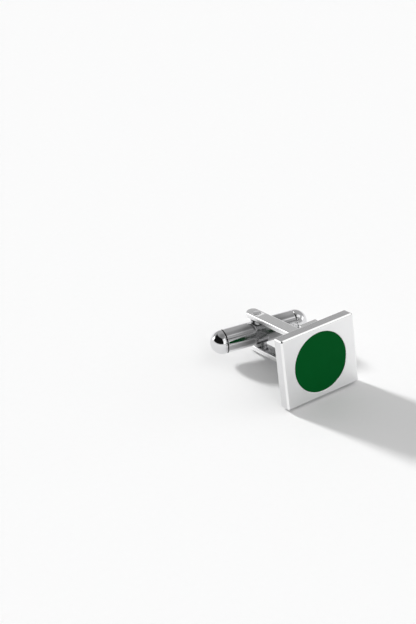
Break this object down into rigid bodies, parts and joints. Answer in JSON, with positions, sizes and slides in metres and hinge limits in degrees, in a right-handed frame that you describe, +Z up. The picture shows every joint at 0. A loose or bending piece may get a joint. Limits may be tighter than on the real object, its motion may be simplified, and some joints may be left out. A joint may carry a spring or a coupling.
{
  "type": "cufflink",
  "caption": "Cufflink with a rectangular polished head, a round green inlay, a forked post and a swivelling bullet toggle with a click stop.",
  "frame": {"origin": "middle of the box's floor face: the cufflink rests on the lower edge of its back strip and on the tip of its lower arm, as on a table", "axes": "+Z up; +Y from the face of the head towards the toggle; +X to the right of someone who looks at the face of the head"},
  "size_m": [0.0202, 0.0248, 0.0147],
  "materials": {
    "polished_silver": "mirror-polished, rhodium-like silver plating",
    "green_inlay": "polished flat, deep green",
    "polished_steel": "polished steel",
    "spring_wire": "drawn spring wire"
  },
  "bodies": {
    "head": {"head_plate": "polished_silver", "inlay_disc": "green_inlay", "back_strip": "polished_silver", "upper_arm": "polished_silver", "lower_arm": "polished_silver", "pivot_pin": "polished_steel"},
    "toggle": {"toggle_barrel": "polished_silver", "left_end_cap": "polished_silver", "right_end_cap": "polished_silver", "left_plunger": "polished_steel", "right_plunger": "polished_steel", "left_spring": "spring_wire", "right_spring": "spring_wire"}
  },
  "joints": [
    {"name": "toggle_swivel", "type": "hinge", "parent": "head", "child": "toggle", "pos_m": [0, 0.00837, 0.00445], "axis": [0, 0.1594, 0.9872], "continuous": true}
  ]
}
